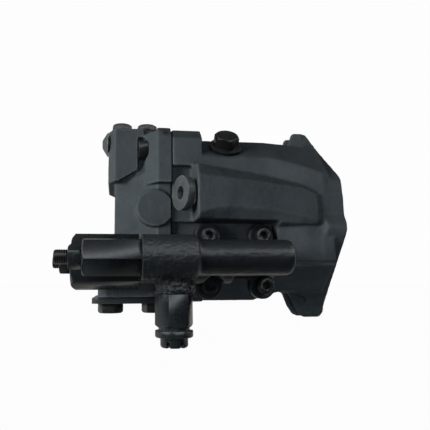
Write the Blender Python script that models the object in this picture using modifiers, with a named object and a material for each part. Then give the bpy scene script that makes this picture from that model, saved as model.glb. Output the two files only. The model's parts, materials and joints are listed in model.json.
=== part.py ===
"""Variable-displacement axial piston pump with a two-stage control valve.

Frame: the drive axis is X, the input shaft points to +X, the origin is the centre of the
shaft's end face. The control valve is on the -Y side ("near"), the pressure port on top (+Z)
and the suction port underneath (-Z). The shapes are modelled in millimetres from the
mounting-flange face and moved back by SHAFT_END as the last step; MM turns them into metres.
"""

import math

import bmesh
import bpy
from mathutils import Matrix, Vector

MM = 0.001
GAP = 0.3  # clearance between neighbouring pieces

# ---- driving dimensions (mm) ----
SHAFT_END = 26.0  # shaft end in front of the flange face
BOLT_Z = 73.0  # flange bolt centres, above and below the axis
SLOT_R = 7.25  # open slot for the flange bolts
FLANGE_T = 18.0
FLANGE_FLANK = 12.5  # thickness along the sloping upper flanks
PILOT_R, PILOT_H = 50.8, 5.0
REAR = -143.0  # split between housing and port plate
PLATE_FRONT = REAR - GAP
SIDE_Y = 56.0  # half width of the housing
BLOCK_Y = SIDE_Y + 0.15  # half width of the block at the split
BLOCK_TOP, BLOCK_BOTTOM = 73.4, 70.9
BLOCK_CHAMFER = 9.5
CHAMBER_R = 42.0
TILT_X = -70.0  # swash axis and piston-ball plane
CRADLE_R = 40.0
SUCTION_X = -174.4  # centre of the suction port
PRESSURE_X = -173.3  # centre of the pressure port
BOSS_TOP = 76.2  # face of the pressure port
COVER_SEAT_Z, COVER_BOTTOM = -67.3, -71.9
PISTONS = 9
PITCH_R = 26.0
ARM_Y, ARM_Z = 56.0, 5.0  # control and counter piston axes
VALVE_SEAT_Y = -44.0
VALVE_FACE_Y = VALVE_SEAT_Y - GAP
VALVE_REAR = -171.0
FLOW_AXIS = (-102.0, -38.0)  # flow spool axis (y, z)
PRESSURE_AXIS = (-68.0, -39.9)  # pressure spool axis (y, z)
VALVE_SCREW_X = (-114.1, -69.1)
VALVE_SCREW_Z = (-18.1, -58.1)
FITTING_X, FITTING_Y = -147.2, -92.0

# ---- screw and hole places ----
PLATE_SCREWS = [(-39.5, 57.0), (39.5, 57.0), (-41.0, -38.0), (41.0, -38.0)]  # (y, z)
PLATE_SCREW_SEAT = -162.0
PLATE_SCREW_HEAD = 8.6  # head height including the clearance under it
TOP_BOLTS = [(PRESSURE_X + i * 11.1, j * 23.8) for i in (-1, 1) for j in (-1, 1)]  # (x, y)
BOTTOM_BOLTS = [(SUCTION_X + i * 17.85, j * 34.95) for i in (-1, 1) for j in (-1, 1)]
VALVE_HOLES = [(x, z) for x in VALVE_SCREW_X for z in VALVE_SCREW_Z]
BORE_ANGLES = [math.radians(20 + 360 // PISTONS * i) for i in range(PISTONS)]
BORES = [(PITCH_R * math.cos(a), PITCH_R * math.sin(a)) for a in BORE_ANGLES]  # (y, z)
GAUGE_PORT = (-22, 66)  # (y, z)

# Case drain: on the upper near facet, DRAIN_OUT pointing out of it and FACET_UP along it.
DRAIN_OUT = Vector((0, -1, 1)).normalized()
FACET_UP = Vector((0, 1, 1)).normalized()
DRAIN = Vector((-96.2, 0, 0)) + DRAIN_OUT * 74.4 + FACET_UP * 9.0

EYE = Vector((-135.6, -66.0, 14.6))  # centre of the lifting eye
EYE_SHANK_X = EYE.x - 1.4

FINISHES = {
    "paint": dict(colour=(0.045, 0.048, 0.05), roughness=0.5, metallic=0.2),
    "black": dict(colour=(0.02, 0.02, 0.022), roughness=0.4, metallic=0.6),
    "steel": dict(colour=(0.55, 0.55, 0.56), roughness=0.3, metallic=1.0),
    "bronze": dict(colour=(0.5, 0.33, 0.14), roughness=0.35, metallic=1.0),
    "rubber": dict(colour=(0.02, 0.02, 0.02), roughness=0.8, metallic=0.0),
}

for old_object in list(bpy.data.objects):
    bpy.data.objects.remove(old_object)


# ---------------------------------------------------------------- scene and materials
def collection(name):
    found = bpy.data.collections.get(name) or bpy.data.collections.new(name)
    if found.name not in bpy.context.scene.collection.children:
        bpy.context.scene.collection.children.link(found)
    return found


PARTS = collection("axial_piston_pump")
CUTTERS = collection("cutters")


def material(name, colour, roughness, metallic):
    mat = bpy.data.materials.get(name) or bpy.data.materials.new(name)
    mat.use_nodes = True
    shader = mat.node_tree.nodes["Principled BSDF"]
    shader.inputs["Base Color"].default_value = (*colour, 1)
    shader.inputs["Roughness"].default_value = roughness
    shader.inputs["Metallic"].default_value = metallic
    return mat


def finish(part, kind=None):
    """Part: into the parts collection with its own material. Without a kind: hidden helper."""
    if kind is None:
        CUTTERS.objects.link(part)
        part.hide_render = True
        part.display_type = "WIRE"
        return part
    PARTS.objects.link(part)
    part.data.materials.append(material(f"{part.name}_{kind}", **FINISHES[kind]))
    return part


# ---------------------------------------------------------------- solids
def evaluated_mesh(source):
    bpy.context.view_layer.update()
    graph = bpy.context.evaluated_depsgraph_get()
    return bpy.data.meshes.new_from_object(source.evaluated_get(graph), depsgraph=graph)


def from_bmesh(name, shape, kind=None):
    """Object from a bmesh in millimetres, its normals turned outwards."""
    bmesh.ops.recalc_face_normals(shape, faces=shape.faces)
    if shape.calc_volume(signed=True) < 0:
        bmesh.ops.reverse_faces(shape, faces=shape.faces)
    bmesh.ops.scale(shape, vec=(MM,) * 3, verts=shape.verts)
    mesh = bpy.data.meshes.new(name)
    shape.to_mesh(mesh)
    shape.free()
    return finish(bpy.data.objects.new(name, mesh), kind)


def box(name, x, y, z):
    """Box between the (low, high) pairs x, y and z."""
    shape = bmesh.new()
    bmesh.ops.create_cube(shape, size=1.0)
    bmesh.ops.scale(shape, vec=(x[1] - x[0], y[1] - y[0], z[1] - z[0]), verts=shape.verts)
    middle = ((x[0] + x[1]) / 2, (y[0] + y[1]) / 2, (z[0] + z[1]) / 2)
    bmesh.ops.translate(shape, vec=middle, verts=shape.verts)
    return from_bmesh(name, shape)


def on_side(side, inner, outer):
    """(low, high) pair of a range on the side given by the sign."""
    return sorted((side * inner, side * outer))


def frame_to(axis):
    """Rotation that carries local Z onto axis."""
    return Vector((0, 0, 1)).rotation_difference(Vector(axis).normalized()).to_matrix().to_4x4()


def frame_at(point, axis):
    return Matrix.Translation(Vector(point) * MM) @ frame_to(axis)


def x_frame(at=(0, 0)):
    """Frame at (y, z): local Z becomes world X, local X becomes world -Z."""
    y, z = at
    return Matrix.Translation((0, y * MM, z * MM)) @ Matrix.Rotation(math.pi / 2, 4, "Y")


def rod(name, start, end, radius, segments=24, kind=None, turn=0.0):
    """Cylinder or prism from start to end, turned about its axis in radians."""
    start, end = Vector(start), Vector(end)
    run = end - start
    shape = bmesh.new()
    bmesh.ops.create_cone(
        shape, cap_ends=True, segments=segments, radius1=radius, radius2=radius, depth=run.length
    )
    middle = Matrix.Translation((start + end) / 2)
    place = middle @ frame_to(run) @ Matrix.Rotation(turn, 4, "Z")
    bmesh.ops.transform(shape, matrix=place, verts=shape.verts)
    return from_bmesh(name, shape, kind)


def rod_x(name, x_start, x_end, radius, segments, at=(0, 0), kind=None, turn=0.0):
    """Rod parallel to the drive axis, its own axis at (y, z)."""
    return rod(name, (x_start, *at), (x_end, *at), radius, segments, kind, turn)


def settle(part):
    """Replaces an object's modifiers by their result, in the same place."""
    mesh = evaluated_mesh(part)
    part.modifiers.clear()
    old = part.data
    part.data = mesh
    mesh.name = part.name
    if not old.users:
        bpy.data.meshes.remove(old)
    return part


def turned(name, profile, segments, place, kind=None, closed=False):
    """Solid of revolution about local Z. profile: (radius, height) down the outer side,
    or a closed loop for a ring; place is the object's world matrix."""
    mesh = bpy.data.meshes.new(name)
    verts = [(radius * MM, 0, height * MM) for radius, height in profile]
    edges = [(i, i + 1) for i in range(len(verts) - 1)]
    if closed:
        edges.append((len(verts) - 1, 0))
    mesh.from_pydata(verts, edges, [])
    part = bpy.data.objects.new(name, mesh)
    screw = part.modifiers.new("turn", "SCREW")
    screw.axis = "Z"
    screw.angle = 2 * math.pi
    screw.steps = screw.render_steps = segments
    screw.use_merge_vertices = True
    screw.merge_threshold = 0.00005
    screw.use_smooth_shade = False
    part.matrix_world = place
    return settle(finish(part, kind))


def curve_solid(name, curve, place, kind=None):
    """Turns a curve into a closed mesh object, its vertices carried by place."""
    holder = bpy.data.objects.new(name + "_curve", curve)
    CUTTERS.objects.link(holder)
    mesh = evaluated_mesh(holder)
    shape = bmesh.new()
    shape.from_mesh(mesh)
    bmesh.ops.remove_doubles(shape, verts=shape.verts, dist=1e-6)
    bmesh.ops.transform(shape, matrix=place, verts=shape.verts)
    bmesh.ops.scale(shape, vec=(1 / MM,) * 3, verts=shape.verts)
    bpy.data.objects.remove(holder)
    bpy.data.curves.remove(curve)
    bpy.data.meshes.remove(mesh)
    return from_bmesh(name, shape, kind)


def outline(name, points, axis, low, high, kind=None):
    """Flat outline extruded along axis from low to high.
    axis X: points are (y, z). axis Z: points are (x, y). axis Y: points are (x, z)."""
    curve = bpy.data.curves.new(name, "CURVE")
    curve.dimensions = "2D"
    curve.fill_mode = "BOTH"
    curve.extrude = (high - low) / 2 * MM
    spline = curve.splines.new("POLY")
    spline.points.add(len(points) - 1)
    for point, (across, up) in zip(spline.points, points):
        point.co = (across * MM, up * MM, 0, 1)
    spline.use_cyclic_u = True
    middle = (low + high) / 2 * MM
    if axis == "X":
        place = Matrix(((0, 0, 1, middle), (1, 0, 0, 0), (0, 1, 0, 0), (0, 0, 0, 1)))
    elif axis == "Y":
        place = Matrix(((1, 0, 0, 0), (0, 0, -1, middle), (0, 1, 0, 0), (0, 0, 0, 1)))
    else:
        place = Matrix.Translation((0, 0, middle))
    return curve_solid(name, curve, place, kind)


def loft(name, stations, kind=None):
    """Skin through like-numbered sections [(x, [(y, z), ...]), ...] with flat ends."""
    shape = bmesh.new()
    rings = [[shape.verts.new((x, y, z)) for y, z in points] for x, points in stations]
    count = len(rings[0])
    for ring_a, ring_b in zip(rings, rings[1:]):
        for i in range(count):
            j = (i + 1) % count
            shape.faces.new((ring_a[i], ring_a[j], ring_b[j], ring_b[i]))
    shape.faces.new(rings[0][::-1])
    shape.faces.new(rings[-1])
    bmesh.ops.triangulate(shape, faces=[f for f in shape.faces if len(f.verts) == 4])
    return from_bmesh(name, shape, kind)


def mirror_y(half):
    """Completes a (y, z) outline with its mirror image in y."""
    return half + [(-y, z) for y, z in reversed(half)]


def mirror_plan(half):
    """Completes an (x, y) outline with its mirror image in y."""
    return half + [(x, -y) for x, y in reversed(half)]


def arc_band(outer_r, inner_r, start, step, centre=0.0):
    """Curved strip of nine points a side; start and step in degrees."""
    angles = [math.radians(start + step * k) for k in range(9)]
    outer = [(centre + outer_r * math.cos(a), outer_r * math.sin(a)) for a in angles]
    inner = [(centre + inner_r * math.cos(a), inner_r * math.sin(a)) for a in angles]
    return outer + inner[::-1]


# ---------------------------------------------------------------- booleans
def is_closed(mesh):
    shape = bmesh.new()
    shape.from_mesh(mesh)
    closed = all(len(edge.link_faces) == 2 for edge in shape.edges)
    shape.free()
    return closed


def combine(part, others, operation):
    """Boolean with each other object in turn. EXACT, or MANIFOLD where EXACT leaves a gap."""
    for other in others:
        before = part.data.copy()
        for solver in ("EXACT", "MANIFOLD"):
            boolean = part.modifiers.new(operation.lower(), "BOOLEAN")
            boolean.operation = operation
            boolean.solver = solver
            boolean.object = other
            settle(part)
            if is_closed(part.data):
                break
            if solver == "EXACT":
                part.data = before
    return part


def cut(part, *others):
    return combine(part, others, "DIFFERENCE")


def join(part, *others):
    return combine(part, others, "UNION")


def set_origin(part, x, y, z):
    """Moves an object's origin to a point without moving its shape."""
    bpy.context.view_layer.update()
    local = part.matrix_world.inverted() @ Vector((x * MM, y * MM, z * MM))
    part.data.transform(Matrix.Translation(-local))
    part.matrix_world = part.matrix_world @ Matrix.Translation(local)


# ---------------------------------------------------------------- fasteners
def hexagon(name, start, end, flats, turn=0.0, kind=None, ends=(True, True)):
    """Hexagonal prism, flats across, turned in degrees; its corners are turned off at the
    (start, end) faces marked True."""
    part = rod(name, start, end, flats / math.sqrt(3), 6, kind, math.radians(turn))
    run = Vector(end) - Vector(start)
    length = run.length
    outer, face = flats / math.sqrt(3) + 0.4, flats * 0.49
    drop = (outer - face) * 0.8
    if ends[1]:
        profile = [(0, length), (face, length), (outer, length - drop)]
    else:
        profile = [(0, length + 1), (outer, length + 1)]
    profile += [(outer, drop), (face, 0), (0, 0)] if ends[0] else [(outer, -1), (0, -1)]
    envelope = turned(name + "_round", profile, 24, frame_at(start, run))
    return combine(part, (envelope,), "INTERSECT")


def socket_screw(name, head, axis, head_r, head_h, shank_r, length):
    """Cap screw: head is the centre of its top face, axis points out of the head."""
    head, axis = Vector(head), Vector(axis).normalized()
    profile = [
        (0, 0), (head_r - 0.6, 0), (head_r, -0.6), (head_r, -head_h),
        (shank_r, -head_h), (shank_r, -head_h - length), (0, -head_h - length),
    ]
    screw = turned(name, profile, 16, frame_at(head, axis), "black")
    return cut(screw, rod(name + "_key", head + axis, head - axis * head_h * 0.6, head_r * 0.52, 6))


def hex_bolt(name, seat, axis, flats, head_h, shank_r, length):
    """Hexagon bolt: seat is the centre of the face under its head, axis points out."""
    seat, axis = Vector(seat), Vector(axis).normalized()
    bolt = hexagon(name, seat, seat + axis * head_h, flats, 8, "black", ends=(False, True))
    return join(bolt, rod(name + "_shank", seat + axis * 1.5, seat - axis * length, shank_r, 12))


# ---------------------------------------------------------------- housing
# x, then (y, z) of the top edge, shoulder, lower side and bottom edge on the near half.
HOUSING_STATIONS = [
    (REAR + 1.5, (-37.5, 67.7), (-SIDE_Y, 49.2), (-SIDE_Y, -46), (-35, -70.5)),
    (-72.0, (-37.5, 67.7), (-SIDE_Y, 49.2), (-SIDE_Y, -46), (-35, -70.5)),
    (-60.0, (-37.3, 67.6), (-(SIDE_Y + 0.4), 48.8), (-(SIDE_Y + 0.6), -44), (-35, -66.0)),
    (-46.0, (-36.5, 67.0), (-58.2, 45.2), (-58.6, -42), (-35, -63.0)),
    (-32.0, (-35.8, 66.2), (-60.6, 40.6), (-60.8, -41), (-34.5, -63.5)),
    (-16.0, (-35.0, 65.2), (-61.4, 35.0), (-62.0, -40), (-34, -65.0)),
    (-10.0, (-35.0, 65.0), (-59.6, 33.0), (-61.8, -40), (-34, -65.0)),
]
# (y, z) of the near half of the two-lug flange: flat upper flanks, wider below the middle,
# straight runs to the lugs.
FLANGE_HALF = [
    (-8.9, 86.2), (-10.6, 84.6), (-12.4, 73.2), (-23.8, 62.8), (-57.4, 33.6), (-60.2, 29.6),
    (-62.0, 14.0), (-62.2, -1.0), (-65.8, -8.0), (-66.0, -12.5), (-63.5, -17.0),
    (-17.0, -72.5), (-13.2, -77.5), (-11.6, -83.5), (-10.2, -86.2), (-8.5, -87.2),
]
# (x, z) of the wedges cut off the flange lug tips.
TIP_UPPER = [(2, 90), (-8.2, 90), (-8.2, 87.0), (0.01, 73.6), (2, 73.6)]
TIP_LOWER = [(2, -90), (-3.4, -90), (-3.4, -87.4), (0.01, -82.6), (2, -82.6)]
# x, then (distance from the middle plane, z) from the top edge round to the bottom edge.
BULGE_STATIONS = [
    (-126.0, [(50, 41), (72, 38.3), (79, 28), (79.5, -3), (73, -10), (50, -15)]),
    (-112.0, [(50, 40.5), (69, 36.8), (77.6, 27), (78.2, 1.5), (71, -8), (50, -14)]),
    (-100.0, [(50, 39.5), (65, 35), (76.4, 26), (77, 2.8), (70, -7), (50, -14)]),
    (-78.0, [(50, 37), (60.5, 32.8), (73, 24.7), (74.3, 1.8), (68, -7), (50, -14)]),
    (-56.0, [(50, 32), (59.5, 29), (69.2, 22.6), (70.8, -0.3), (66, -8), (50, -13)]),
    (-36.0, [(50, 27), (60.5, 24.5), (66.8, 20.8), (68, -3.7), (65, -8.5), (50, -12)]),
    (-24.5, [(50, 20), (61, 19), (65.6, 16.3), (66.4, -6.3), (64.5, -9), (50, -12)]),
    (-19.0, [(50, 16), (58, 15), (61, 12.5), (61.3, -5), (60.5, -7), (50, -9)]),
]
# x, then (y, z) on the near half.
SKIRT_STATIONS = [
    (-31.0, [(-48, -30), (-51, -39), (-23, -64.5)]),
    (-16.0, [(-54, -25), (-55, -32), (-18, -71)]),
]
ARM_SLOT_Z = (ARM_Z - 7, ARM_Z + 7)


def flange_rim():
    rim = outline("rim", mirror_y(FLANGE_HALF), "X", -FLANGE_T, 0.0)
    for side in (-1, 1):
        flank_x = (-FLANGE_T - 2, -FLANGE_FLANK)
        cut(rim, box("flank_step", x=flank_x, y=on_side(side, 11.0, 75.0), z=(31.5, 84.0)))
    # The upper lug leans back at its tip, the lower one has its corner broken.
    cut(rim, outline("tip_upper", TIP_UPPER, "Y", -30, 30))
    return cut(rim, outline("tip_lower", TIP_LOWER, "Y", -30, 30))


def block_outline(top):
    """Chamfered rectangle shared by the rear of the housing and the port plate."""
    return mirror_y([
        (-BLOCK_Y + BLOCK_CHAMFER, top),
        (-BLOCK_Y, top - BLOCK_CHAMFER),
        (-BLOCK_Y, -BLOCK_BOTTOM + BLOCK_CHAMFER),
        (-BLOCK_Y + BLOCK_CHAMFER, -BLOCK_BOTTOM),
    ])


def bulge(name, side):
    """Tapered cast swelling over a setting-piston bore."""
    return loft(name, [(x, [(side * y, z) for y, z in pts]) for x, pts in BULGE_STATIONS])


def gusset(side):
    """Rib behind a flange lug; side +1 is the upper one."""
    points = [
        (-11, side * 58), (-38, side * 58), (-30.5, side * 66),
        (-24 if side > 0 else -26, side * 78),
        (-21.5, side * 85), (-20, side * 86), (-11, side * 86),
    ]
    return outline("gusset", points, "Y", -12.0, 12.0)


housing = loft("pump_housing", [(x, mirror_y(list(pts))) for x, *pts in HOUSING_STATIONS], "paint")
join(housing, flange_rim())
join(housing, rod_x("pilot", -2, PILOT_H, PILOT_R, 40))
join(housing, outline("block", block_outline(BLOCK_TOP), "X", REAR, -118.0))
for side in (-1, 1):
    # Pocket between the corner pads, behind the swelling.
    cut(housing, box("pocket", x=(-150, -126), y=on_side(side, 49.0, 90.0), z=(-26, 40)))
join(housing, bulge("bulge_near", -1), bulge("bulge_far", 1))
# Gussets behind the lugs, the thick lower skirt and the flank pads.
for side in (-1, 1):
    join(housing, gusset(side))
join(housing, loft("skirt", [(x, mirror_y(pts)) for x, pts in SKIRT_STATIONS]))
for side in (-1, 1):
    join(housing, box("flank", x=(-20, -9.3), y=on_side(side, 40.0, 62.1), z=(-40.2, 2)))

cut(housing, box("valve_seat", x=(-150, -57), y=(-100, VALVE_SEAT_Y), z=(-69.6, -6.4)))
# Barrel chamber, cradle seat, arm slots and setting-piston bores.
cut(housing, rod_x("chamber", REAR - 5, -46, CHAMBER_R, 36))
cut(housing, rod("cradle", (TILT_X, 0, -34), (TILT_X, 0, 34), CRADLE_R, 40))
cut(housing, box("arm_near", x=(-98, -50), y=(-64.5, -30), z=ARM_SLOT_Z))
cut(housing, box("arm_far", x=(-80, -50), y=(30, 64.0), z=ARM_SLOT_Z))
cut(housing, box("arm_far_front", x=(-52, -33), y=(30, 60.0), z=ARM_SLOT_Z))
for side, bore_end in ((-1, -75), (1, -56)):
    cut(housing, rod_x("bore", -121.5, bore_end, 8.3, 16, (side * ARM_Y, ARM_Z)))
cut(housing, rod_x("bearing_bore", -36, -12, 24.0, 32))
cut(housing, rod_x("seal_bore", -20, 20, 18.0, 30, turn=0.02))
# Open slots for the mounting bolts.
for side in (-1, 1):
    cut(housing, rod_x("slot_end", -45, 5, SLOT_R, 20, (0, side * BOLT_Z)))
    cut(housing, box("slot", x=(-45, 5), y=(-SLOT_R, SLOT_R), z=on_side(side, BOLT_Z, 95)))
cut(housing, rod("drain_spot", DRAIN - DRAIN_OUT * 0.8, DRAIN + DRAIN_OUT * 8, 16.0, 24))
cut(housing, rod("drain_bore", DRAIN - DRAIN_OUT * 40, DRAIN + DRAIN_OUT * 4, 8.3, 16))
# Screw holes.
for at in PLATE_SCREWS:
    cut(housing, rod_x("tap", REAR - 3, -123, 5.3, 12, at))
for x, z in VALVE_HOLES:
    cut(housing, rod("tap", (x, -48, z), (x, -36.5 if z > -30 else -32, z), 4.3, 12))
cut(housing, rod("eye_tap", (EYE_SHANK_X, -52, EYE.z), (EYE_SHANK_X, -43.5, EYE.z), 4.6, 12))

# ---------------------------------------------------------------- port plate
# x, half width, half height, chamfer in y, chamfer in z.
TAPER_STATIONS = [
    (-190.0, 28, 36, 7, 9),
    (-172.0, 38.4, 46, 9, 12),
    (-152.0, 49, 56, 10, 14),
]
# (x, distance from the middle plane) of the side lugs.
LUG = [(-150, 55.9), (-155.4, 55.9), (-164.6, 43.5), (-164.6, 30), (-150, 30)]
# (x, y) near halves of the port bosses.
PRESSURE_BOSS_HALF = [(-196, -27), (-190.7, -39), (-171.0, -39), (-171.0, -34), (-151, -34)]
SUCTION_NECK_HALF = [(-199, -24), (-192, -32), (-152, -32)]
SUCTION_PAD_HALF = [(-202.6, -42), (-196, -48), (-147, -48)]
# (x, z) of the slanting cut under the sides of the pressure boss.
BOSS_SLANT = [(-187.4, 29.6), (-160, 46.2), (-160, 20), (-187.4, 20)]


def taper_ring(y, z, chamfer_y, chamfer_z):
    return mirror_y(
        [(-y + chamfer_y, z), (-y, z - chamfer_z), (-y, -z + chamfer_z), (-y + chamfer_y, -z)]
    )


def pressure_boss():
    boss = outline("pressure_boss", mirror_plan(PRESSURE_BOSS_HALF), "Z", 29.5, BOSS_TOP)
    for side in (-1, 1):
        cut(boss, outline("boss_slant", BOSS_SLANT, "Y", *on_side(side, 34.2, 46)))
        join(boss, box("boss_ear", x=(-172.0, -165.2), y=on_side(side, 32, 39), z=(68.5, BOSS_TOP)))
    return boss


def round_boss():
    """Round swelling on the near side, cut flush with the front of the plate."""
    boss = rod("round_boss", (-157, -34, 5), (-157, -52, 5), 15.5, 24, turn=0.05)
    return cut(boss, box("boss_front", x=(PLATE_FRONT - 0.2, -130), y=(-60, -30), z=(-20, 30)))


plate = outline("port_plate", block_outline(BLOCK_TOP + 1.8), "X", -155.0, PLATE_FRONT, "paint")
for side in (-1, 1):
    relief_y = on_side(side, 49.0, 90.0)
    cut(plate, box("side_relief", x=(-160, -140), y=relief_y, z=(-25.7, 25.7)))
join(plate, loft("taper", [(x, taper_ring(*sizes)) for x, *sizes in TAPER_STATIONS]))
for side in (-1, 1):
    for bottom, top in ((25.7, 70.5), (-66.0, -25.7)):
        join(plate, outline("lug", [(x, side * y) for x, y in LUG], "Z", bottom, top))
join(plate, pressure_boss())
join(plate, outline("suction_neck", mirror_plan(SUCTION_NECK_HALF), "Z", -56, -16))
join(plate, outline("suction_pad", mirror_plan(SUCTION_PAD_HALF), "Z", -68.5, -49.5))
join(plate, round_boss())
cut(plate, box("valve_relief", x=(-176, -140), y=(-70, -49.3), z=(-75, -13)))
cut(plate, box("cover_seat", x=(-215, -145.8), y=(-51, 51), z=(-85, COVER_SEAT_Z)))
# Work ports, kidney ducts and shaft bearing.
cut(plate, rod("pressure_port", (PRESSURE_X, 0, 80), (PRESSURE_X, 0, 22), 9.5, 28))
cut(plate, rod_x("pressure_duct", PRESSURE_X, -140, 8.0, 16, (0, 26)))
cut(plate, rod("suction_port", (SUCTION_X, 0, -72), (SUCTION_X, 0, -22), 19.0, 28))
cut(plate, rod_x("suction_duct", SUCTION_X, -140, 9.0, 16, (0, -27)))
cut(plate, rod_x("rear_bearing_bore", -159.5, -140, 14.8, 24))
for x, y in TOP_BOLTS:
    cut(plate, rod("tap", (x, y, 78), (x, y, 56), 5.3, 12))
for x, y in BOTTOM_BOLTS:
    cut(plate, rod("tap", (x, y, -70), (x, y, -52), 6.3, 12))
for at in PLATE_SCREWS:
    cut(plate, rod_x("through", -170, -140, 5.4, 12, at))
    cut(plate, rod_x("seat", -171.0 if at[1] > 0 else -184, PLATE_SCREW_SEAT, 8.7, 20, at))
cut(plate, rod_x("plug_tap", -200, -191, 6.3, 12, GAUGE_PORT))

# ---------------------------------------------------------------- control valve body
VALVE_BASE = [(-126, -53), (-57.5, -53), (-57.5, -23), (-126, -23)]  # (x, z)
# (radius, x) of the flow spool's tube.
NEAR_TUBE = [
    (0, -64), (9.6, -64), (11.7, -65.0), (12.6, -67.5), (12.6, -131),
    (15.8, -133.5), (15.8, VALVE_REAR), (0, VALVE_REAR),
]
THREAD_START, THREAD_END = -175, -159

valve = outline("control_valve_body", VALVE_BASE, "Y", -52.0, VALVE_FACE_Y, "paint")
for x, z in VALVE_HOLES:
    join(valve, rod("ear", (x, VALVE_FACE_Y, z), (x, -52.6, z), 11.0, 20))
join(valve, box("web", x=(-138, -66), y=(-100, -48), z=(-50.5, -26)))
join(valve, turned("near_tube", NEAR_TUBE, 28, x_frame(FLOW_AXIS)))
join(valve, rod_x("far_tube", VALVE_REAR, -100, 16.5, 28, PRESSURE_AXIS))
join(valve, box("rear_web", x=(VALVE_REAR + 3, -136), y=(-98, -60), z=(-51.5, -27)))
join(valve, rod("pilot_boss", (FITTING_X, FITTING_Y, -63.3), (FITTING_X, FITTING_Y, -42), 13.6, 20))
join(valve, box("pilot_lump", x=(-150, -132.5), y=(-100, -72), z=(-62.5, -45)))
cut(valve, rod_x("near_bore", -172, -78, 6.3, 16, FLOW_AXIS))
cut(valve, rod_x("near_thread", THREAD_START, THREAD_END, 9.3, 20, FLOW_AXIS))
cut(valve, rod_x("far_bore", -172, -104, 7.3, 16, PRESSURE_AXIS))
cut(valve, rod_x("far_thread", THREAD_START, THREAD_END, 11.3, 20, PRESSURE_AXIS))
cut(valve, rod("pilot_bore", (FITTING_X, FITTING_Y, -66), (FITTING_X, FITTING_Y, -50), 8.3, 16))
for x, z in VALVE_HOLES:
    cut(valve, rod("hole", (x, -40, z), (x, -60, z), 4.4, 12))
    cut(valve, rod("head_room", (x, -52.0, z), (x, -84, z), 8.2, 16))


# ---------------------------------------------------------------- control valve pieces
def spring_cap(name, at, x_end, flats, nose_r, chamber_r, hole_r, turn):
    """Hexagonal cap closing a spool bore: nose, spring chamber, screw hole."""
    front = VALVE_REAR - GAP
    cap = hexagon(name, (x_end, *at), (front, *at), flats, turn, "paint", ends=(True, False))
    join(cap, rod_x(name + "_nose", VALVE_REAR - 3, -160, nose_r, 20, at))
    cut(cap, rod_x(name + "_chamber", x_end + 5, -155, chamber_r, 16, at))
    cut(cap, rod_x(name + "_hole", x_end - 5, x_end + 8, hole_r, 16, at))


def lock_nut(name, at, x_rear, x_front, flats, hole_r, turn, origin_x):
    nut = hexagon(name, (x_rear, *at), (x_front, *at), flats, turn, "paint")
    cut(nut, rod_x(name + "_hole", x_rear - 2, x_front + 2, hole_r, 16, at))
    set_origin(nut, origin_x, *at)


def adjuster(name, at, x_rear, x_front, radius):
    """Set screw with a hexagon socket in its outer end."""
    profile = [
        (0, x_front), (radius - 1, x_front), (radius, x_front - 1),
        (radius, x_rear + 0.8), (radius - 0.8, x_rear), (0, x_rear),
    ]
    screw = turned(name, profile, 16, x_frame(at), "black")
    cut(screw, rod_x(name + "_key", x_rear - 1, x_rear + 5, radius * 0.52, 6, at))


def spool(name, at, x_rear, x_front, radius):
    """Valve spool: three lands with two waists."""
    land = (x_front - x_rear) / 5
    waist_r = radius * 0.55
    profile = [(0, x_front), (radius, x_front)]
    for i in (1, 3):
        waist_front, waist_rear = x_front - land * i, x_front - land * (i + 1)
        profile += [(radius, waist_front), (waist_r, waist_front - 1)]
        profile += [(waist_r, waist_rear + 1), (radius, waist_rear)]
    profile += [(radius, x_rear), (0, x_rear)]
    turned(name, profile, 16, x_frame(at), "steel")


spring_cap(
    "flow_spring_cap", FLOW_AXIS, x_end=-211.0, flats=24.4,
    nose_r=9.0, chamber_r=6.3, hole_r=5.5, turn=8.3,
)
spring_cap(
    "pressure_spring_cap", PRESSURE_AXIS, x_end=-221.0, flats=37.2,
    nose_r=11.0, chamber_r=7.3, hole_r=5.3, turn=-16.7,
)
lock_nut(
    "flow_lock_nut", FLOW_AXIS, x_rear=-220.5, x_front=-211.0 - GAP, flats=15.0,
    hole_r=5.5, turn=33.7, origin_x=-216,
)
lock_nut(
    "pressure_lock_nut", PRESSURE_AXIS, x_rear=-229.8, x_front=-221.0 - GAP, flats=17.0,
    hole_r=5.3, turn=5, origin_x=-225,
)
adjuster("flow_adjusting_screw", FLOW_AXIS, x_rear=-230.0, x_front=-202.0, radius=5.2)
adjuster("pressure_adjusting_screw", PRESSURE_AXIS, x_rear=-235.0, x_front=-211.0, radius=5.0)
spool("flow_spool", FLOW_AXIS, x_rear=-146.0, x_front=-86.0, radius=6.0)
spool("pressure_spool", PRESSURE_AXIS, x_rear=-150.0, x_front=-111.0, radius=7.0)
for i, (x, z) in enumerate([(x, z) for z in VALVE_SCREW_Z for x in VALVE_SCREW_X]):
    socket_screw(
        f"valve_screw_{i + 1}", (x, -60.5, z), (0, -1, 0),
        head_r=6.5, head_h=8.2, shank_r=4.0, length=14.5 if z > -30 else 18,
    )

# Pilot-line fitting hanging under the valve: hexagon, collar and slotted end.
# (radius, z)
FITTING_BODY = [
    (0, -53), (8, -53), (8, -64.5), (11, -64.5), (11, -88), (13.4, -88.4), (13.4, -92.2),
    (12.6, -93), (9.8, -93), (9.8, -98.6), (8.8, -99.8), (0, -99.8),
]


def fitting_slot(angle):
    """Cutter for a slot across the lower end, at an angle about Z."""
    shape = bmesh.new()
    bmesh.ops.create_cube(shape, size=1.0)
    bmesh.ops.scale(shape, vec=(30, 2.6, 5.4), verts=shape.verts)
    rotation = Matrix.Rotation(angle, 3, "Z")
    bmesh.ops.rotate(shape, cent=(0, 0, 0), matrix=rotation, verts=shape.verts)
    bmesh.ops.translate(shape, vec=(FITTING_X, FITTING_Y, -98.3), verts=shape.verts)
    return from_bmesh("fit_slot", shape)


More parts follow.
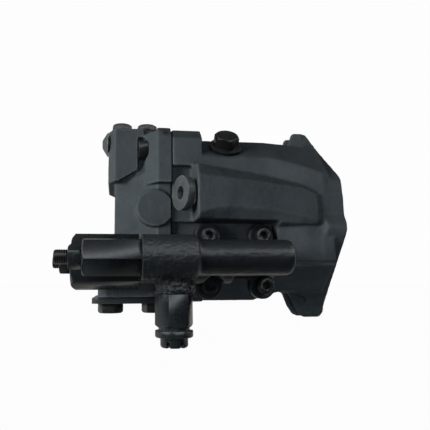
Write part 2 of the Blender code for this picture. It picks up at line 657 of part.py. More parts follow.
fitting = hexagon(
    "pilot_port_fitting", (FITTING_X, FITTING_Y, -86.0), (FITTING_X, FITTING_Y, -63.6),
    24.0, -21.5, "paint", ends=(True, False),
)
fitting_place = Matrix.Translation((FITTING_X * MM, FITTING_Y * MM, 0))
join(fitting, turned("fit_body", FITTING_BODY, 24, fitting_place))
cut(fitting, rod("fit_bore", (FITTING_X, FITTING_Y, -105), (FITTING_X, FITTING_Y, -60), 3.6, 12))
for i in range(3):
    cut(fitting, fitting_slot(math.radians(57 + 60 * i)))

# ---------------------------------------------------------------- outside hardware
for i, at in enumerate(PLATE_SCREWS):
    socket_screw(
        f"port_plate_screw_{i + 1}", (PLATE_SCREW_SEAT - PLATE_SCREW_HEAD, *at), (-1, 0, 0),
        head_r=8.0, head_h=PLATE_SCREW_HEAD - GAP, shank_r=5.0, length=36,
    )
# Only the near-side port holes carry bolts.
for i, (x, y) in enumerate(place for place in TOP_BOLTS if place[1] < 0):
    hex_bolt(
        f"pressure_port_bolt_{i + 1}", (x, y, BOSS_TOP + GAP), (0, 0, 1),
        flats=16.0, head_h=6.8, shank_r=5.0, length=18,
    )
for i, (x, y) in enumerate(place for place in BOTTOM_BOLTS if place[1] < 0):
    hex_bolt(
        f"suction_cover_bolt_{i + 1}", (x, y, COVER_BOTTOM - GAP), (0, 0, -1),
        flats=18.0, head_h=7.5, shank_r=6.0, length=18.5,
    )

COVER = [  # (x, y)
    (-207, -44), (-201, -50), (-154, -50), (-148.5, -45),
    (-148.5, 40), (-152, 44), (-201, 44), (-207, 38),
]
cover = outline("suction_port_cover", COVER, "Z", COVER_BOTTOM, COVER_SEAT_Z - GAP, "paint")
for x, y in BOTTOM_BOLTS:
    cut(cover, rod("hole", (x, y, -75), (x, y, -64), 6.6, 12))

GAUGE_PLUG = [  # (radius, x)
    (0, -192.5), (6, -192.5), (6, -196.3), (11.0, -196.3),
    (10.6, -197.2), (4.2, -201.2), (3.2, -201.6), (0, -201.6),
]
turned("gauge_port_plug", GAUGE_PLUG, 24, x_frame(GAUGE_PORT), "paint")

plug = rod(
    "case_drain_plug", DRAIN - DRAIN_OUT * 0.5, DRAIN + DRAIN_OUT * 2.2, 13.6, 28, kind="black"
)
plug_foot = DRAIN + DRAIN_OUT * 1
join(plug, hexagon("plug_hex", plug_foot, DRAIN + DRAIN_OUT * 12.0, 18.6, 8, ends=(False, True)))
join(plug, rod("plug_shank", DRAIN - DRAIN_OUT * 12, plug_foot, 8.0, 16))

# Flat lifting eye on a screwed shank, its face turned towards the rear.
eye_angle = math.radians(70.0)
eye_normal = Vector((-math.sin(eye_angle), -math.cos(eye_angle), 0))
eye = rod("lifting_eye", EYE - eye_normal * 3.2, EYE + eye_normal * 3.2, 13.8, 32, kind="paint")
shank_y = EYE.y + 12
for name, y_start, y_end, radius, segments in (
    ("eye_shank", shank_y - 5, -44, 4.2, 12),
    ("eye_collar", shank_y - 1.5, -49.4, 6.3, 16),
):
    start, end = (EYE_SHANK_X, y_start, EYE.z), (EYE_SHANK_X, y_end, EYE.z)
    join(eye, rod(name, start, end, radius, segments))
cut(eye, rod("eye_hole", EYE - eye_normal * 6, EYE + eye_normal * 6, 5.6, 24))

# ---------------------------------------------------------------- shaft, bearings and seal
SHAFT_PROFILE = [  # (radius, x)
    (0, 4), (12.5, 4), (12.5, -27.4), (15, -27.4), (15, -30.4), (11, -30.4), (11, -84.5),
    (12, -84.5), (12, -138), (9, -138), (9, -158), (0, -158),
]
SPLINE_TEETH = 13
SPLINE_TOOTH = ((-8, 9.6), (-5, 11.1), (5, 11.1), (8, 9.6))  # (degrees, radius)

shaft = turned("drive_shaft", SHAFT_PROFILE, 24, x_frame(), "steel")
spline_points = []
for i in range(SPLINE_TEETH):
    for offset, radius in SPLINE_TOOTH:
        angle = math.radians(i * 360 / SPLINE_TEETH + offset)
        spline_points.append((radius * math.cos(angle), radius * math.sin(angle)))
join(shaft, outline("spline", spline_points, "X", 3.0, SHAFT_END))


def ring(name, x_rear, x_front, inner_r, outer_r, segments, kind="steel"):
    profile = [(outer_r, x_front), (outer_r, x_rear), (inner_r, x_rear), (inner_r, x_front)]
    turned(name, profile, segments, x_frame(), kind, closed=True)


ring("front_bearing", -26.9, -12.3, inner_r=12.9, outer_r=23.6, segments=28)
ring("rear_bearing", -157.5, -144.6, inner_r=9.4, outer_r=14.4, segments=20)
ring("shaft_seal", -9.0, -1.5, inner_r=12.9, outer_r=17.6, segments=24, kind="rubber")

# ---------------------------------------------------------------- barrel and pistons
VALVE_PLATE_FRONT = REAR + 4.0
BALL_R, SOCKET_R = 4.6, 5.0

barrel = rod_x("cylinder_barrel", VALVE_PLATE_FRONT + GAP, -86, 36.0, 36, kind="steel")
cut(barrel, rod_x("shaft_hole", -145, -80, 12.4, 24))
for at in BORES:
    cut(barrel, rod_x("bore", -135.5, -80, 7.9, 10, at))
    cut(barrel, rod_x("bore_port", -145, -130, 4.0, 8, at))


def ball_arc(radius, step):
    """(radius, x) points from the front pole of a piston ball backwards, step in degrees."""
    angles = [math.radians(step * k) for k in range(6)]
    return [(radius * math.sin(a), TILT_X + radius * math.cos(a)) for a in angles]


def piston(name, at):
    neck = [(2.6, TILT_X - 4.2), (2.6, -84)]
    body = [(7.5, -88), (7.5, -124), (0, -124)]
    part = turned(name, ball_arc(BALL_R, 26) + neck + body, 10, x_frame(at), "steel")
    set_origin(part, TILT_X, *at)


def slipper(name, at):
    """Shoe with a flange at the front and a socket round the piston ball."""
    outside = [(0, -61), (8.2, -61), (8.2, -64), (6.4, -64.2), (6.4, -72.3)]
    profile = outside + ball_arc(SOCKET_R, 23.7)[::-1]
    part = turned(name, profile, 10, x_frame(at), "bronze")
    set_origin(part, TILT_X, *at)


for i, at in enumerate(BORES):
    piston(f"piston_{i + 1}", at)
    slipper(f"slipper_{i + 1}", at)

retainer = rod_x("retainer_plate", -67.6, -64.5, 35.8, 36, kind="steel")
cut(retainer, rod_x("centre", -70, -60, 14.7, 24))
for at in BORES:
    cut(retainer, rod_x("hole", -70, -60, 8.05, 12, at))
set_origin(retainer, TILT_X, 0, 0)

RETAINING_BALL = [  # (radius, x), closed loop
    (12.5, -65.0), (13.2, -67.2), (13.5, -70.0), (13.2, -72.8),
    (12.5, -75.0), (12.5, -83.5), (11.3, -83.5), (11.3, -65.0),
]
turned("retaining_ball", RETAINING_BALL, 24, x_frame(), "bronze", closed=True)

valve_plate = rod_x("valve_plate", REAR, VALVE_PLATE_FRONT, 37.0, 32, kind="bronze")
cut(valve_plate, rod_x("centre", -150, -130, 15.5, 24))
for side in (-1, 1):
    kidney = arc_band(PITCH_R + 3.5, PITCH_R - 3.5, start=90 * side - 48, step=12)
    cut(valve_plate, outline("kidney", kidney, "X", -145, -137))

# ---------------------------------------------------------------- swash plate and setting gear
RUNNER_R = 37.4
WINDOW_HALF_Y, WINDOW_HALF_Z = 18.4, 12.9


def swash_runner(side):
    """Half-round runner of the swash plate, above (+1) or below (-1) the axis."""
    bottom, top = on_side(side, 15.5, 33.0)
    runner = rod("runner", (TILT_X, 0, bottom), (TILT_X, 0, top), RUNNER_R, 40)
    return cut(runner, box("front", x=(-120, -54), y=(-60, 60), z=(-50, 50)))


swash = rod_x("swash_plate", -60.5, -52, 34.2, 36, kind="steel")
for side in (-1, 1):
    join(swash, swash_runner(side))
    arm_z, tip_z = (ARM_Z - 5, ARM_Z + 5), (ARM_Z - 4.8, ARM_Z + 4.8)
    join(swash, box("arm", x=(-60.2, -54.5), y=on_side(side, 28.0, 60.0), z=arm_z))
    join(swash, box("arm_tip", x=(-72, -54.7), y=on_side(side, 52.0, 60.0), z=tip_z))
    nose_y = side * ARM_Y
    join(swash, rod("nose", (-72, nose_y, ARM_Z - 4.6), (-72, nose_y, ARM_Z + 4.6), 4.5, 12))
window = rod_x("window", -64, -48, WINDOW_HALF_Z, 24)
window.scale = (1, WINDOW_HALF_Y / WINDOW_HALF_Z, 1)
cut(swash, window)
set_origin(swash, TILT_X, 0, 0)

cradle_arc = arc_band(39.6, 37.75, start=-40, step=10, centre=TILT_X)
for side, word in ((1, "upper"), (-1, "lower")):
    outline(f"cradle_bearing_{word}", cradle_arc, "Z", *on_side(side, 16.0, 32.5), "bronze")

# (radius, x); the counter piston is a cup, open to the rear.
CONTROL_PISTON = [(0, -77), (7.0, -77), (8, -78), (8, -102.3), (7.3, -103), (0, -103)]
COUNTER_PISTON = [(0, -77), (7.0, -77), (8, -78), (8, -103), (6.2, -103), (6.2, -83), (0, -83)]
turned("control_piston", CONTROL_PISTON, 16, x_frame((-ARM_Y, ARM_Z)), "steel")
turned("counter_piston", COUNTER_PISTON, 16, x_frame((ARM_Y, ARM_Z)), "steel")


def coil(name, at, x_rear, x_front, coil_r, wire_r, turns):
    """Compression spring parallel to X as a bevelled curve, made a mesh."""
    curve = bpy.data.curves.new(name, "CURVE")
    curve.dimensions = "3D"
    curve.bevel_depth = wire_r * MM
    curve.bevel_resolution = 0
    curve.use_fill_caps = True
    steps = turns * 10
    spline = curve.splines.new("POLY")
    spline.points.add(steps)
    for i, point in enumerate(spline.points):
        angle = 2 * math.pi * i / 10
        x = x_rear + wire_r + (x_front - x_rear - 2 * wire_r) * i / steps
        y = at[0] + coil_r * math.cos(angle)
        z = at[1] + coil_r * math.sin(angle)
        point.co = (x * MM, y * MM, z * MM, 1)
    return curve_solid(name, curve, Matrix.Identity(4), "steel")


coil("bias_spring", (ARM_Y, ARM_Z), -121.0, -83.4, coil_r=4.6, wire_r=1.0, turns=7)

# ---------------------------------------------------------------- move to the shaft end, shade
bpy.context.view_layer.update()
for part in PARTS.objects:
    part.matrix_world = Matrix.Translation((-SHAFT_END * MM, 0, 0)) @ part.matrix_world
    part.data.shade_smooth()
    part.data.set_sharp_from_angle(angle=math.radians(35))
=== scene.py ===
"""Looks of an axial piston pump: cast skins, machined hardware, threads and materials.

The shaft lies along X with the origin at its end; the pump runs back towards -X. Z is up.
The control valve hangs on the -Y side, which faces the camera.
"""

import json
import math

import bmesh
import bpy
from mathutils import Matrix, Vector, noise

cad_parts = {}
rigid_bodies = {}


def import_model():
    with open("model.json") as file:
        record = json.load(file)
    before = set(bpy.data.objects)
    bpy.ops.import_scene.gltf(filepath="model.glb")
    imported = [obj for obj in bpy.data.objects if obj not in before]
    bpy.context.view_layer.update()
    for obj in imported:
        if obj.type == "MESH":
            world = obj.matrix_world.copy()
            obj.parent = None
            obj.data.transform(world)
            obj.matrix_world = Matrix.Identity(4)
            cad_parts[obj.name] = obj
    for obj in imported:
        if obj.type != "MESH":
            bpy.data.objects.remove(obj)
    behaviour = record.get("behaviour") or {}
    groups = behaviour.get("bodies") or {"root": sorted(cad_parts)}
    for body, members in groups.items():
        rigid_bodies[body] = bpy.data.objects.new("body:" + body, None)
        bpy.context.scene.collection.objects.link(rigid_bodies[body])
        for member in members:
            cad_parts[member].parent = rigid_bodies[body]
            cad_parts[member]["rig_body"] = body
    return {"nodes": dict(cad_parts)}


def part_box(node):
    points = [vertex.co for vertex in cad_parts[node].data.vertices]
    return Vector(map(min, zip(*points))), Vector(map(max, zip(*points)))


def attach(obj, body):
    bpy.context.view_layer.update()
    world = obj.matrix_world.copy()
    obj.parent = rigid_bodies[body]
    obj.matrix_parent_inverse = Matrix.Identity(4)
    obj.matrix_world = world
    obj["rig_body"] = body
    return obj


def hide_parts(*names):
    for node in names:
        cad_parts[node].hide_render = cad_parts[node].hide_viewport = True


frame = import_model()
NODES = frame["nodes"]
SCENE = bpy.context.scene

MM = 0.001
FLANGE_X = -26.0  # flange face (mm)
FLOW_AXIS = (-102.0, -38.0)  # y, z of the flow adjuster (mm)
PRESSURE_AXIS = (-68.0, -39.9)  # y, z of the pressure adjuster (mm)


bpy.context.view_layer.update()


# ------------------------------------------------------------------ shader nodes
def plug(tree, socket, value):
    """Link an output into the socket, or set its value; colours get full alpha."""
    if isinstance(value, bpy.types.NodeSocket):
        tree.links.new(value, socket)
    elif isinstance(value, tuple):
        socket.default_value = (*value, 1)
    else:
        socket.default_value = value


def plug_all(tree, node, inputs):
    for name, value in inputs.items():
        plug(tree, node.inputs[name], value)


def add(tree, kind, **inputs):
    node = tree.nodes.new("ShaderNode" + kind)
    plug_all(tree, node, inputs)
    return node


def new_material(name):
    material = bpy.data.materials.new(name)
    material.use_nodes = True
    tree = material.node_tree
    return material, tree, tree.nodes["Principled BSDF"]


def ramp(tree, source, stops):
    """Colour ramp; each stop is (position, colour)."""
    node = add(tree, "ValToRGB")
    elements = node.color_ramp.elements
    while len(elements) < len(stops):
        elements.new(0.5)
    for element, (position, colour) in zip(elements, stops):
        element.position = position
        element.color = (*colour, 1)
    plug(tree, node.inputs[0], source)
    return node.outputs[0]


def mix(tree, factor, first, second, blend="MIX"):
    node = add(tree, "Mix")
    node.data_type = "RGBA"
    node.blend_type = blend
    # The colour sockets of a Mix node are inputs 6 and 7 and output 2.
    for index, value in ((0, factor), (6, first), (7, second)):
        plug(tree, node.inputs[index], value)
    return node.outputs[2]


def calc(tree, operation, first, second):
    node = add(tree, "Math")
    node.operation = operation
    plug(tree, node.inputs[0], first)
    plug(tree, node.inputs[1], second)
    return node.outputs[0]


def scaled(tree, source, factor):
    return calc(tree, "MULTIPLY", source, factor)


def noise_tex(tree, place, scale, detail, rough):
    node = add(tree, "TexNoise", Vector=place, Scale=scale, Detail=detail, Roughness=rough)
    return node.outputs[0]


def bump(tree, height, strength, distance):
    node = add(tree, "Bump", Strength=strength, Distance=distance, Height=height)
    return node.outputs[0]


def edge_wear_and_shine(tree, radius):
    """0 on flats, towards 1 on convex edges: a bevelled normal against the true one. It marks
    the lighter edges, partly wear and partly painted highlight.
    """
    bevel = add(tree, "Bevel", Radius=radius)
    bevel.samples = 4
    geometry = add(tree, "NewGeometry")
    dot = add(tree, "VectorMath")
    dot.operation = "DOT_PRODUCT"
    plug(tree, dot.inputs[0], bevel.outputs[0])
    plug(tree, dot.inputs[1], geometry.outputs["Normal"])
    return scaled(tree, calc(tree, "SUBTRACT", 1.0, dot.outputs["Value"]), 6.0)


# ------------------------------------------------------------------ materials
def painted_top_shade(tree, colour, big, top_shade_share):
    """Painted shade: faces that point up are darkened, with broad random variation, down to the
    given share of the colour.
    """
    up = add(tree, "SeparateXYZ", Vector=add(tree, "NewGeometry").outputs["Normal"])
    upward = calc(tree, "ADD", up.outputs["Z"], scaled(tree, big, 0.3))
    top_shade_colour = (top_shade_share, top_shade_share * 1.02, top_shade_share * 1.02)
    shade = ramp(tree, upward, [(0.10, (1, 1, 1)), (0.45, top_shade_colour)])
    return mix(tree, 1.0, colour, shade, "MULTIPLY")


def painted(name, base, light, *, rough, grain, grain_scale, mottled, edge,
            specular=0.5, top_shade_share=1.0, reach=0.0012):
    """Semi-gloss paint over metal: colour mottling, cast grain, lighter edges that are partly
    wear and partly a painted highlight, and painted shade on faces that point up when its share
    is below 1.

    grain is the bump strength, edge the strength of the lighter edges and reach their width
    (m).
    """
    rough_swing = 0.22
    material, tree, shader = new_material(name)
    place = add(tree, "TexCoord").outputs["Object"]
    big = noise_tex(tree, place, scale=38, detail=5, rough=0.6)
    middle = noise_tex(tree, place, scale=240, detail=5, rough=0.62)
    fine = noise_tex(tree, place, scale=grain_scale, detail=3, rough=0.6)
    ground = ramp(tree, big, [(0.35, base), (0.68, light)])
    speck = ramp(tree, middle, [(0.42, (0, 0, 0)), (0.72, (1, 1, 1))])
    colour = mix(tree, scaled(tree, speck, mottled * 0.35), ground, light)
    # Painted shade on faces that point up.
    if top_shade_share < 1.0:
        colour = painted_top_shade(tree, colour, big, top_shade_share)
    # Lighter edges: partly paint rubbed off, partly a painted highlight.
    edge_wear_shine = scaled(tree, edge_wear_and_shine(tree, reach), middle)
    edge_wear_shine = calc(tree, "MINIMUM", edge_wear_shine, 1.0)
    worn_shine_colour = tuple(min(1, c * 2.6 + 0.03) for c in light)
    colour = mix(tree, scaled(tree, edge_wear_shine, edge), colour, worn_shine_colour)
    roughness = calc(tree, "ADD", scaled(tree, middle, rough_swing), rough - rough_swing / 2)
    height = calc(tree, "ADD", scaled(tree, middle, 0.7), scaled(tree, fine, 0.45))
    plug_all(tree, shader, {
        "Base Color": colour,
        "Roughness": roughness,
        "Metallic": 0.0,
        "IOR": 1.5,
        "Specular IOR Level": specular,
        "Normal": bump(tree, height, strength=grain, distance=0.0007),
    })
    return material


def machined(name, base, *, rough, metal, scratch, axis="X"):
    """Turned or ground metal: fine tool lines round the axis, stains and brighter edges."""
    line_scale, along_scale = 2600, 40
    material, tree, shader = new_material(name)
    place = add(tree, "TexCoord").outputs["Object"]
    mapping = add(tree, "Mapping", Vector=place)
    scales = [line_scale if letter == axis else along_scale for letter in "XYZ"]
    mapping.inputs["Scale"].default_value = scales
    lines = noise_tex(tree, mapping.outputs[0], scale=1.0, detail=3, rough=0.6)
    stain = noise_tex(tree, place, scale=90, detail=5, rough=0.6)
    stained = tuple(c * 0.72 for c in base)
    scored = tuple(min(1, c * 1.45 + 0.01) for c in base)
    worn_shine_colour = tuple(min(1, c * 2.2 + 0.04) for c in base)
    ground = ramp(tree, stain, [(0.3, stained), (0.65, base)])
    colour = mix(tree, scaled(tree, lines, 0.5), ground, scored)
    # Brighter edges: partly worn metal, partly a painted highlight.
    edge_wear_shine = calc(tree, "MINIMUM", edge_wear_and_shine(tree, radius=0.0007), 1.0)
    colour = mix(tree, scaled(tree, edge_wear_shine, 0.5), colour, worn_shine_colour)
    plug_all(tree, shader, {
        "Base Color": colour,
        "Roughness": calc(tree, "ADD", scaled(tree, stain, 0.25), rough - 0.12),
        "Metallic": metal,
        "Normal": bump(tree, lines, strength=scratch, distance=0.00012),
    })
    return material


# The cast paint darkens faces that point up as painted shade, down to 0.56 of its colour; its
# wide lighter edges are partly wear and partly painted highlight.
CAST = painted("cast_paint", (0.0265, 0.0310, 0.0350), (0.0425, 0.0490, 0.0535),
               rough=0.60, grain=0.85, grain_scale=900, mottled=0.6, edge=0.55,
               specular=0.16, top_shade_share=0.56, reach=0.0032)
VALVE_CAST = painted("valve_cast_paint", (0.0045, 0.0054, 0.0060), (0.012, 0.0138, 0.0146),
                     rough=0.42, grain=1.0, grain_scale=650, mottled=0.8, edge=0.6)
TUBE = painted("valve_tube_paint", (0.0038, 0.0050, 0.0056), (0.0070, 0.0088, 0.0098),
               rough=0.34, grain=0.25, grain_scale=1200, mottled=0.3, edge=0.35,
               specular=0.36)
SMOOTH = painted("smooth_paint", (0.0038, 0.0050, 0.0057), (0.0080, 0.0098, 0.0106),
                 rough=0.28, grain=0.14, grain_scale=1400, mottled=0.25, edge=0.7)
BOSS = painted("boss_paint", (0.030, 0.0335, 0.0355), (0.045, 0.0495, 0.051),
               rough=0.42, grain=0.25, grain_scale=1200, mottled=0.3, edge=0.9,
               specular=0.3)
DARK = painted("dark_paint", (0.009, 0.0098, 0.0100), (0.016, 0.017, 0.0172),
               rough=0.42, grain=0.3, grain_scale=1100, mottled=0.4, edge=0.5)
BLACKED = machined("blackened_steel", (0.006, 0.0066, 0.0068),
                   rough=0.36, metal=0.2, scratch=0.2, axis="Z")
STUD = machined("oiled_black_thread", (0.004, 0.004, 0.0045),
                rough=0.32, metal=0.4, scratch=0.15)
STEEL = machined("ground_steel", (0.48, 0.48, 0.49), rough=0.3, metal=1.0, scratch=0.3)
BRONZE = machined("machined_bronze", (0.50, 0.32, 0.13), rough=0.32, metal=1.0, scratch=0.3)
RUBBER = painted("seal_rubber", (0.012, 0.012, 0.012), (0.02, 0.02, 0.02),
                 rough=0.7, grain=0.25, grain_scale=1500, mottled=0.2, edge=0.1)
IRON = machined("phosphated_iron", (0.12, 0.12, 0.12), rough=0.5, metal=0.8, scratch=0.3)
CAP_YELLOW = painted("yellow_plastic", (0.42, 0.47, 0.03), (0.55, 0.58, 0.06),
                     rough=0.45, grain=0.1, grain_scale=1500, mottled=0.2, edge=0.1)


# ------------------------------------------------------------------ mesh helpers
def cad_bmesh(node):
    bm = bmesh.new()
    bm.from_mesh(NODES[node].data)
    bmesh.ops.remove_doubles(bm, verts=bm.verts, dist=1e-6)
    return bm


def link_object(name, data):
    ob = bpy.data.objects.new(name, data)
    SCENE.collection.objects.link(ob)
    return ob


def mesh_object(name, bm):
    mesh = bpy.data.meshes.new(name)
    bm.to_mesh(mesh)
    bm.free()
    return link_object(name, mesh)


def dress(ob, material, sharp=None):
    """One material and smooth shading, split where faces meet above sharp degrees."""
    mesh = ob.data
    # Clearing also resets the material numbers of the faces.
    mesh.materials.clear()
    mesh.materials.append(material)
    mesh.shade_smooth()
    if sharp:
        mesh.set_sharp_from_angle(angle=math.radians(sharp))


def stand_in(ob, node):
    """Put the object in the place of a CAD node."""
    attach(ob, NODES[node]["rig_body"])
    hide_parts(node)


def apply_modifiers(ob):
    bpy.context.view_layer.update()
    depsgraph = bpy.context.evaluated_depsgraph_get()
    mesh = bpy.data.meshes.new_from_object(ob.evaluated_get(depsgraph), depsgraph=depsgraph)
    ob.modifiers.clear()
    old = ob.data
    ob.data = mesh
    bpy.data.meshes.remove(old)


def move_vertices(mesh, place):
    """Move each vertex to place(vertex), or leave it on None.

    All places are worked out first, since they may depend on the normals.
    """
    places = [place(vertex) for vertex in mesh.vertices]
    for vertex, co in zip(mesh.vertices, places):
        if co is not None:
            vertex.co = co


def from_flange(point):
    """A point in mm, with x measured from the flange face."""
    x, y, z = point / MM
    return x - FLANGE_X, y, z


def fade(distance, length):
    """Rises from 0 to 1 over the length."""
    return min(1.0, max(0.0, distance / length))


def cast_skin(node, material, voxel, rounds, lumps):
    """A casting's skin: a fine voxel mesh of the node, its edges smoothed to fillets, with
    a slight waviness. voxel and lumps are in mm."""
    ob = mesh_object(node + "_skin", cad_bmesh(node))
    remesh = ob.modifiers.new("remesh", "REMESH")
    remesh.mode = "VOXEL"
    remesh.voxel_size = voxel * MM
    remesh.adaptivity = 0.0
    apply_modifiers(ob)
    soften = ob.modifiers.new("soften", "SMOOTH")
    soften.factor = 0.5
    soften.iterations = rounds
    apply_modifiers(ob)

    def wavy(vertex):
        broad = noise.noise(vertex.co * 140.0)
        fine = noise.noise(vertex.co * 420.0)
        return vertex.co + vertex.normal * (broad * 0.6 + fine * 0.4) * (lumps * MM)

    move_vertices(ob.data, wavy)
    dress(ob, material)
    stand_in(ob, node)
    return ob


def crisp(node, material, width, segments=2):
    """A machined piece: the node's shape, coplanar faces merged, with fine bevels (mm)."""
    bm = cad_bmesh(node)
    bmesh.ops.dissolve_limit(bm, angle_limit=math.radians(1.5), verts=bm.verts, edges=bm.edges)
    ob = mesh_object(node + "_fine", bm)
    bevel = ob.modifiers.new("bevel", "BEVEL")
    bevel.width = width * MM
    bevel.segments = segments
    bevel.limit_method = "ANGLE"
    bevel.angle_limit = math.radians(28)
    bevel.use_clamp_overlap = True
    bevel.harden_normals = True
    apply_modifiers(ob)
    dress(ob, material, sharp=40)
    stand_in(ob, node)


# ------------------------------------------------------------------ castings
def parting_step(vertex):
    """A groove along both flat sides, where they turn under, with a lip below it."""
    rear, front = -78.0, -9.0
    x, y, z = from_flange(vertex.co)
    if abs(z + 41.0) > 4.0 or abs(y) < 54.0 or not rear < x < front:
        return None
    run = fade(x - rear, 6.0) * fade(front - x, 1.5)
    lip = 1.25 * math.exp(-(((z + 42.3) / 1.2) ** 2))
    groove = 1.9 * math.exp(-(((z + 40.0) / 1.05) ** 2))
    side = 1.0 if y > 0.0 else -1.0
    return vertex.co.x, vertex.co.y + side * (lip - groove) * run * MM, vertex.co.z


def rough_cast(vertex):
    """Coarse lumps on the saddle above the pilot port, finer ones on the rear barrel."""
    x, y, z = from_flange(vertex.co)
    saddle = fade(x + 170.0, 2.0) * fade(-128.0 - x, 4.0) * fade(-49.0 - z, 3.0)
    barrel = fade(-132.0 - x, 3.0) * fade(x + 170.5, 1.5)
    if y > -78.0 or (saddle <= 0.0 and barrel <= 0.0):
        return None
    cell_distance = noise.voronoi(vertex.co * 330.0)[0][0]
    blob = 1.0 - 2.0 * min(1.0, cell_distance * 1.6)
    middle = noise.noise(vertex.co * 520.0)
    fine = noise.noise(vertex.co * 900.0)
    rise = saddle * (0.85 * blob + 0.4 * fine) + barrel * (0.20 * middle + 0.2 * fine)
    return vertex.co + vertex.normal * MM * rise


def paint_tube(mesh):
    """Smoother paint on the valve's tube round the flow axis, ahead of the barrel."""
    tube_rear, tube_reach = -131.5, 13.2
    mesh.materials.append(TUBE)
    for face in mesh.polygons:
        x, y, z = from_flange(face.center)
        if x > tube_rear and math.hypot(y - FLOW_AXIS[0], z - FLOW_AXIS[1]) < tube_reach:
            face.material_index = 1


housing = cast_skin("pump_housing", CAST, voxel=1.1, rounds=5, lumps=0.22)
move_vertices(housing.data, parting_step)
cast_skin("port_plate", CAST, voxel=1.0, rounds=4, lumps=0.2)
valve = cast_skin("control_valve_body", VALVE_CAST, voxel=0.8, rounds=4, lumps=0.3)
move_vertices(valve.data, rough_cast)
paint_tube(valve.data)

# ------------------------------------------------------------------ machined hardware
for node in ("flow_spring_cap", "pressure_spring_cap", "flow_lock_nut", "pressure_lock_nut"):
    crisp(node, SMOOTH, width=0.45)
crisp("pilot_port_fitting", SMOOTH, width=0.3)
crisp("suction_port_cover", DARK, width=0.35)
crisp("gauge_port_plug", BOSS, width=0.5)
crisp("lifting_eye", BOSS, width=1.0, segments=3)
crisp("case_drain_plug", STUD, width=0.4)
BOLTS = ("valve_screw", "port_plate_screw", "pressure_port_bolt", "suction_cover_bolt")
for node in NODES:
    if node.startswith(BOLTS):
        crisp(node, BLACKED, width=0.3)


def stud(node, axis):
    """Stud along X: V thread, chamfered ends and a hexagon socket in the rear end (mm)."""
    pitch, thread_depth, chamfer = 1.5, 0.45, 1.0
    rows_per_pitch, segments = 8, 40
    socket_depth = 4.5
    lo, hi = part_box(node)
    rear, front = lo[0] / MM, hi[0] / MM
    crest = (hi[2] - lo[2]) / 2 / MM
    # Corner radius of the socket as a share of the crest, times the cosine of 30 degrees.
    socket_flat = 0.52 * crest * 0.866
    bm = bmesh.new()

    def thread_radius(x, j):
        vee = abs(2 * ((x / pitch - j / segments) % 1.0) - 1)
        end_radius = crest - chamfer + min(chamfer, x - rear, front - x)
        return min(crest - thread_depth * vee, end_radius)

    def socket_radius(x, j):
        angle = 2 * math.pi * j / segments
        from_flat = ((angle + math.pi / 6) % (math.pi / 3)) - math.pi / 6
        return socket_flat / math.cos(from_flat)

    def add_ring(x, radius_at):
        ring = []
        for j in range(segments):
            angle = 2 * math.pi * j / segments
            radius = radius_at(x, j)
            y = axis[0] + radius * math.cos(angle)
            z = axis[1] + radius * math.sin(angle)
            ring.append(bm.verts.new((x * MM, y * MM, z * MM)))
        return ring

    rows = int((front - rear) / pitch * rows_per_pitch)
    rings = [add_ring(rear + (front - rear) * i / rows, thread_radius) for i in range(rows + 1)]
    for a, b in zip(rings, rings[1:]):
        for j in range(segments):
            after = (j + 1) % segments
            bm.faces.new((a[j], a[after], b[after], b[j]))
    mouth = add_ring(rear, socket_radius)
    bottom = add_ring(rear + socket_depth, socket_radius)
    for a, b in ((rings[0], mouth), (mouth, bottom)):
        for j in range(segments):
            after = (j + 1) % segments
            bm.faces.new((a[j], b[j], b[after], a[after]))
    bm.faces.new(bottom)
    bm.faces.new(rings[-1])
    bmesh.ops.recalc_face_normals(bm, faces=bm.faces)
    ob = mesh_object(node + "_thread", bm)
    dress(ob, STUD, sharp=38)
    stand_in(ob, node)


def dust_cap():
    """Flattened yellow ball at the bottom of the pilot port fitting."""
    fitting = "pilot_port_fitting"
    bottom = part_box(fitting)[0][2]
    centre = ((FLANGE_X - 147.2) * MM, -92.0 * MM, bottom + 0.7 * MM)
    bm = bmesh.new()
    bmesh.ops.create_uvsphere(bm, u_segments=24, v_segments=12, radius=1.0)
    bmesh.ops.scale(bm, vec=(3.4 * MM, 3.4 * MM, 1.6 * MM), verts=bm.verts)
    bmesh.ops.translate(bm, vec=centre, verts=bm.verts)
    ob = mesh_object("fitting_dust_cap", bm)
    dress(ob, CAP_YELLOW, sharp=30)
    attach(ob, NODES[fitting]["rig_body"])


stud("flow_adjusting_screw", FLOW_AXIS)
stud("pressure_adjusting_screw", PRESSURE_AXIS)
dust_cap()

# ------------------------------------------------------------------ inner pieces
# These keep their CAD meshes and only get a material.
INSIDE = {
    STEEL: [
        "drive_shaft", "cylinder_barrel", "retainer_plate", "swash_plate", "control_piston",
        "counter_piston", "flow_spool", "pressure_spool", "front_bearing", "rear_bearing",
        *(f"piston_{i}" for i in range(1, 10)),
    ],
    BRONZE: [
        "valve_plate", "cradle_bearing_upper", "cradle_bearing_lower", "retaining_ball",
        *(f"slipper_{i}" for i in range(1, 10)),
    ],
    RUBBER: ["shaft_seal"],
    IRON: ["bias_spring"],
}
for material, names in INSIDE.items():
    for name in names:
        mesh = NODES[name].data
        mesh.materials.clear()
        mesh.materials.append(material)


# ------------------------------------------------------------------ stage
def build_floor():
    """Pale glowing floor that only the camera sees."""
    bm = bmesh.new()
    bmesh.ops.create_grid(bm, x_segments=2, y_segments=2, size=60.0)
    bmesh.ops.translate(bm, vec=(0, 0, -0.16), verts=bm.verts)
    ob = mesh_object("floor", bm)
    material, tree, shader = new_material("pale_floor")
    tree.nodes.remove(shader)
    glow = add(tree, "Emission", Strength=1.0, Color=(0.975, 0.975, 0.975))
    path = add(tree, "LightPath")
    pick = add(tree, "MixShader")
    clear = add(tree, "BsdfTransparent")
    sources = (path.outputs["Is Camera Ray"], clear.outputs[0], glow.outputs[0])
    for socket, source in zip(pick.inputs, sources):
        plug(tree, socket, source)
    output = tree.nodes["Material Output"]
    plug(tree, output.inputs["Surface"], pick.outputs[0])
    ob.data.materials.append(material)
    return ob


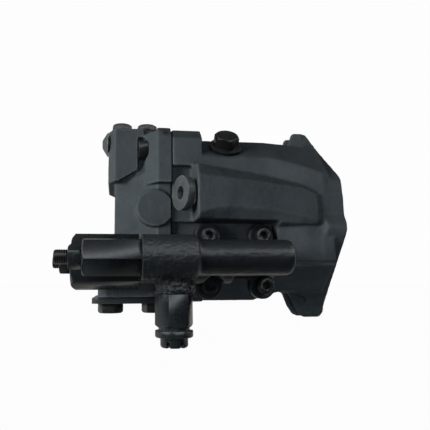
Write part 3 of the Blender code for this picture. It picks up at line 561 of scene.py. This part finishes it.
def build_world():
    """Near-white to the camera, dim to diffuse rays, a studio to glossy rays."""
    world = bpy.data.worlds.new("pale")
    SCENE.world = world
    world.use_nodes = True
    tree = world.node_tree
    background = tree.nodes["Background"]
    path = add(tree, "LightPath").outputs
    way = add(tree, "SeparateXYZ", Vector=add(tree, "TexCoord").outputs["Generated"])

    def from_zero(letter):
        """The direction's component, brought from -1..1 to 0..1."""
        return calc(tree, "ADD", scaled(tree, way.outputs[letter], 0.5), 0.5)

    height = from_zero("Z")
    soft = ramp(tree, height, [
        (0.0, (0.060, 0.064, 0.066)), (0.45, (0.060, 0.067, 0.073)),
        (0.6, (0.045, 0.049, 0.053)), (1.0, (0.015, 0.015, 0.015)),
    ])
    # Gloss sees a softbox high in front over a dim front, and brighter sides and back.
    softbox = ramp(tree, height, [
        (0.0, (0.004, 0.004, 0.005)), (0.58, (0.02, 0.023, 0.026)),
        (0.65, (0.7, 0.78, 0.82)), (0.70, (3.5, 3.8, 3.95)), (0.77, (3.1, 3.35, 3.45)),
        (0.85, (0.8, 0.84, 0.86)), (1.0, (0.12, 0.12, 0.12)),
    ])
    in_front = ramp(tree, from_zero("Y"), [(0.40, (1, 1, 1)), (0.62, (0, 0, 0))])
    surround = ramp(tree, height, [
        (0.0, (0.15, 0.15, 0.145)), (0.2, (0.42, 0.42, 0.40)), (0.50, (0.52, 0.52, 0.50)),
        (0.66, (0.42, 0.42, 0.41)), (0.80, (0.10, 0.10, 0.10)),
    ])
    behind = ramp(tree, from_zero("Y"), [(0.33, (0, 0, 0)), (0.55, (1, 1, 1))])
    front_shine = mix(tree, 1.0, softbox, in_front, "MULTIPLY")
    back_shine = mix(tree, 1.0, surround, behind, "MULTIPLY")
    shine = mix(tree, 1.0, front_shine, back_shine, "ADD")
    lit = mix(tree, path["Is Glossy Ray"], soft, shine)
    seen = mix(tree, path["Is Camera Ray"], lit, (0.985, 0.985, 0.985))
    plug_all(tree, background, {"Color": seen, "Strength": 1.0})


def area(name, place, size, power, colour):
    """Area light aimed at the pump, left out of reflections."""
    light = bpy.data.lights.new(name, "AREA")
    light.energy = power
    light.size = size
    light.color = colour
    ob = link_object(name, light)
    ob.location = place
    aim = Vector((-0.12, 0, 0)) - Vector(place)
    ob.rotation_euler = aim.to_track_quat("-Z", "Y").to_euler()
    ob.visible_glossy = False


def build_camera():
    """Camera on the -Y side, a little below the pump and looking slightly up."""
    data = bpy.data.cameras.new("camera")
    data.sensor_width = 36.0
    data.lens = 37.818419
    data.shift_x = 0.11134884
    data.shift_y = -0.010325581
    data.clip_start = 0.01
    data.clip_end = 100
    ob = link_object("camera", data)
    turn, tilt, roll = (math.radians(angle) for angle in (-6.38, -9.01, -0.23))
    back = Vector((
        math.sin(turn) * math.cos(tilt),
        -math.cos(turn) * math.cos(tilt),
        math.sin(tilt),
    ))
    level_right = Vector((0, 0, 1)).cross(back).normalized()
    level_up = back.cross(level_right)
    right = math.cos(roll) * level_right + math.sin(roll) * level_up
    up = -math.sin(roll) * level_right + math.cos(roll) * level_up
    matrix = Matrix((right, up, back)).transposed().to_4x4()
    matrix.translation = Vector((FLANGE_X - 187.85, -414.54, -55.21)) * MM
    ob.matrix_world = matrix
    SCENE.camera = ob


floor = build_floor()
build_world()
area("key", (-1.22, -0.62, 0.20), size=0.45, power=29, colour=(0.99, 1.0, 0.975))
area("fill", (-0.30, -1.25, -0.30), size=0.6, power=5.0, colour=(0.90, 0.99, 1.08))
area("back", (1.2, 0.75, 0.3), size=0.9, power=16, colour=(1, 1, 1))
build_camera()
SCENE.view_settings.view_transform = "Standard"
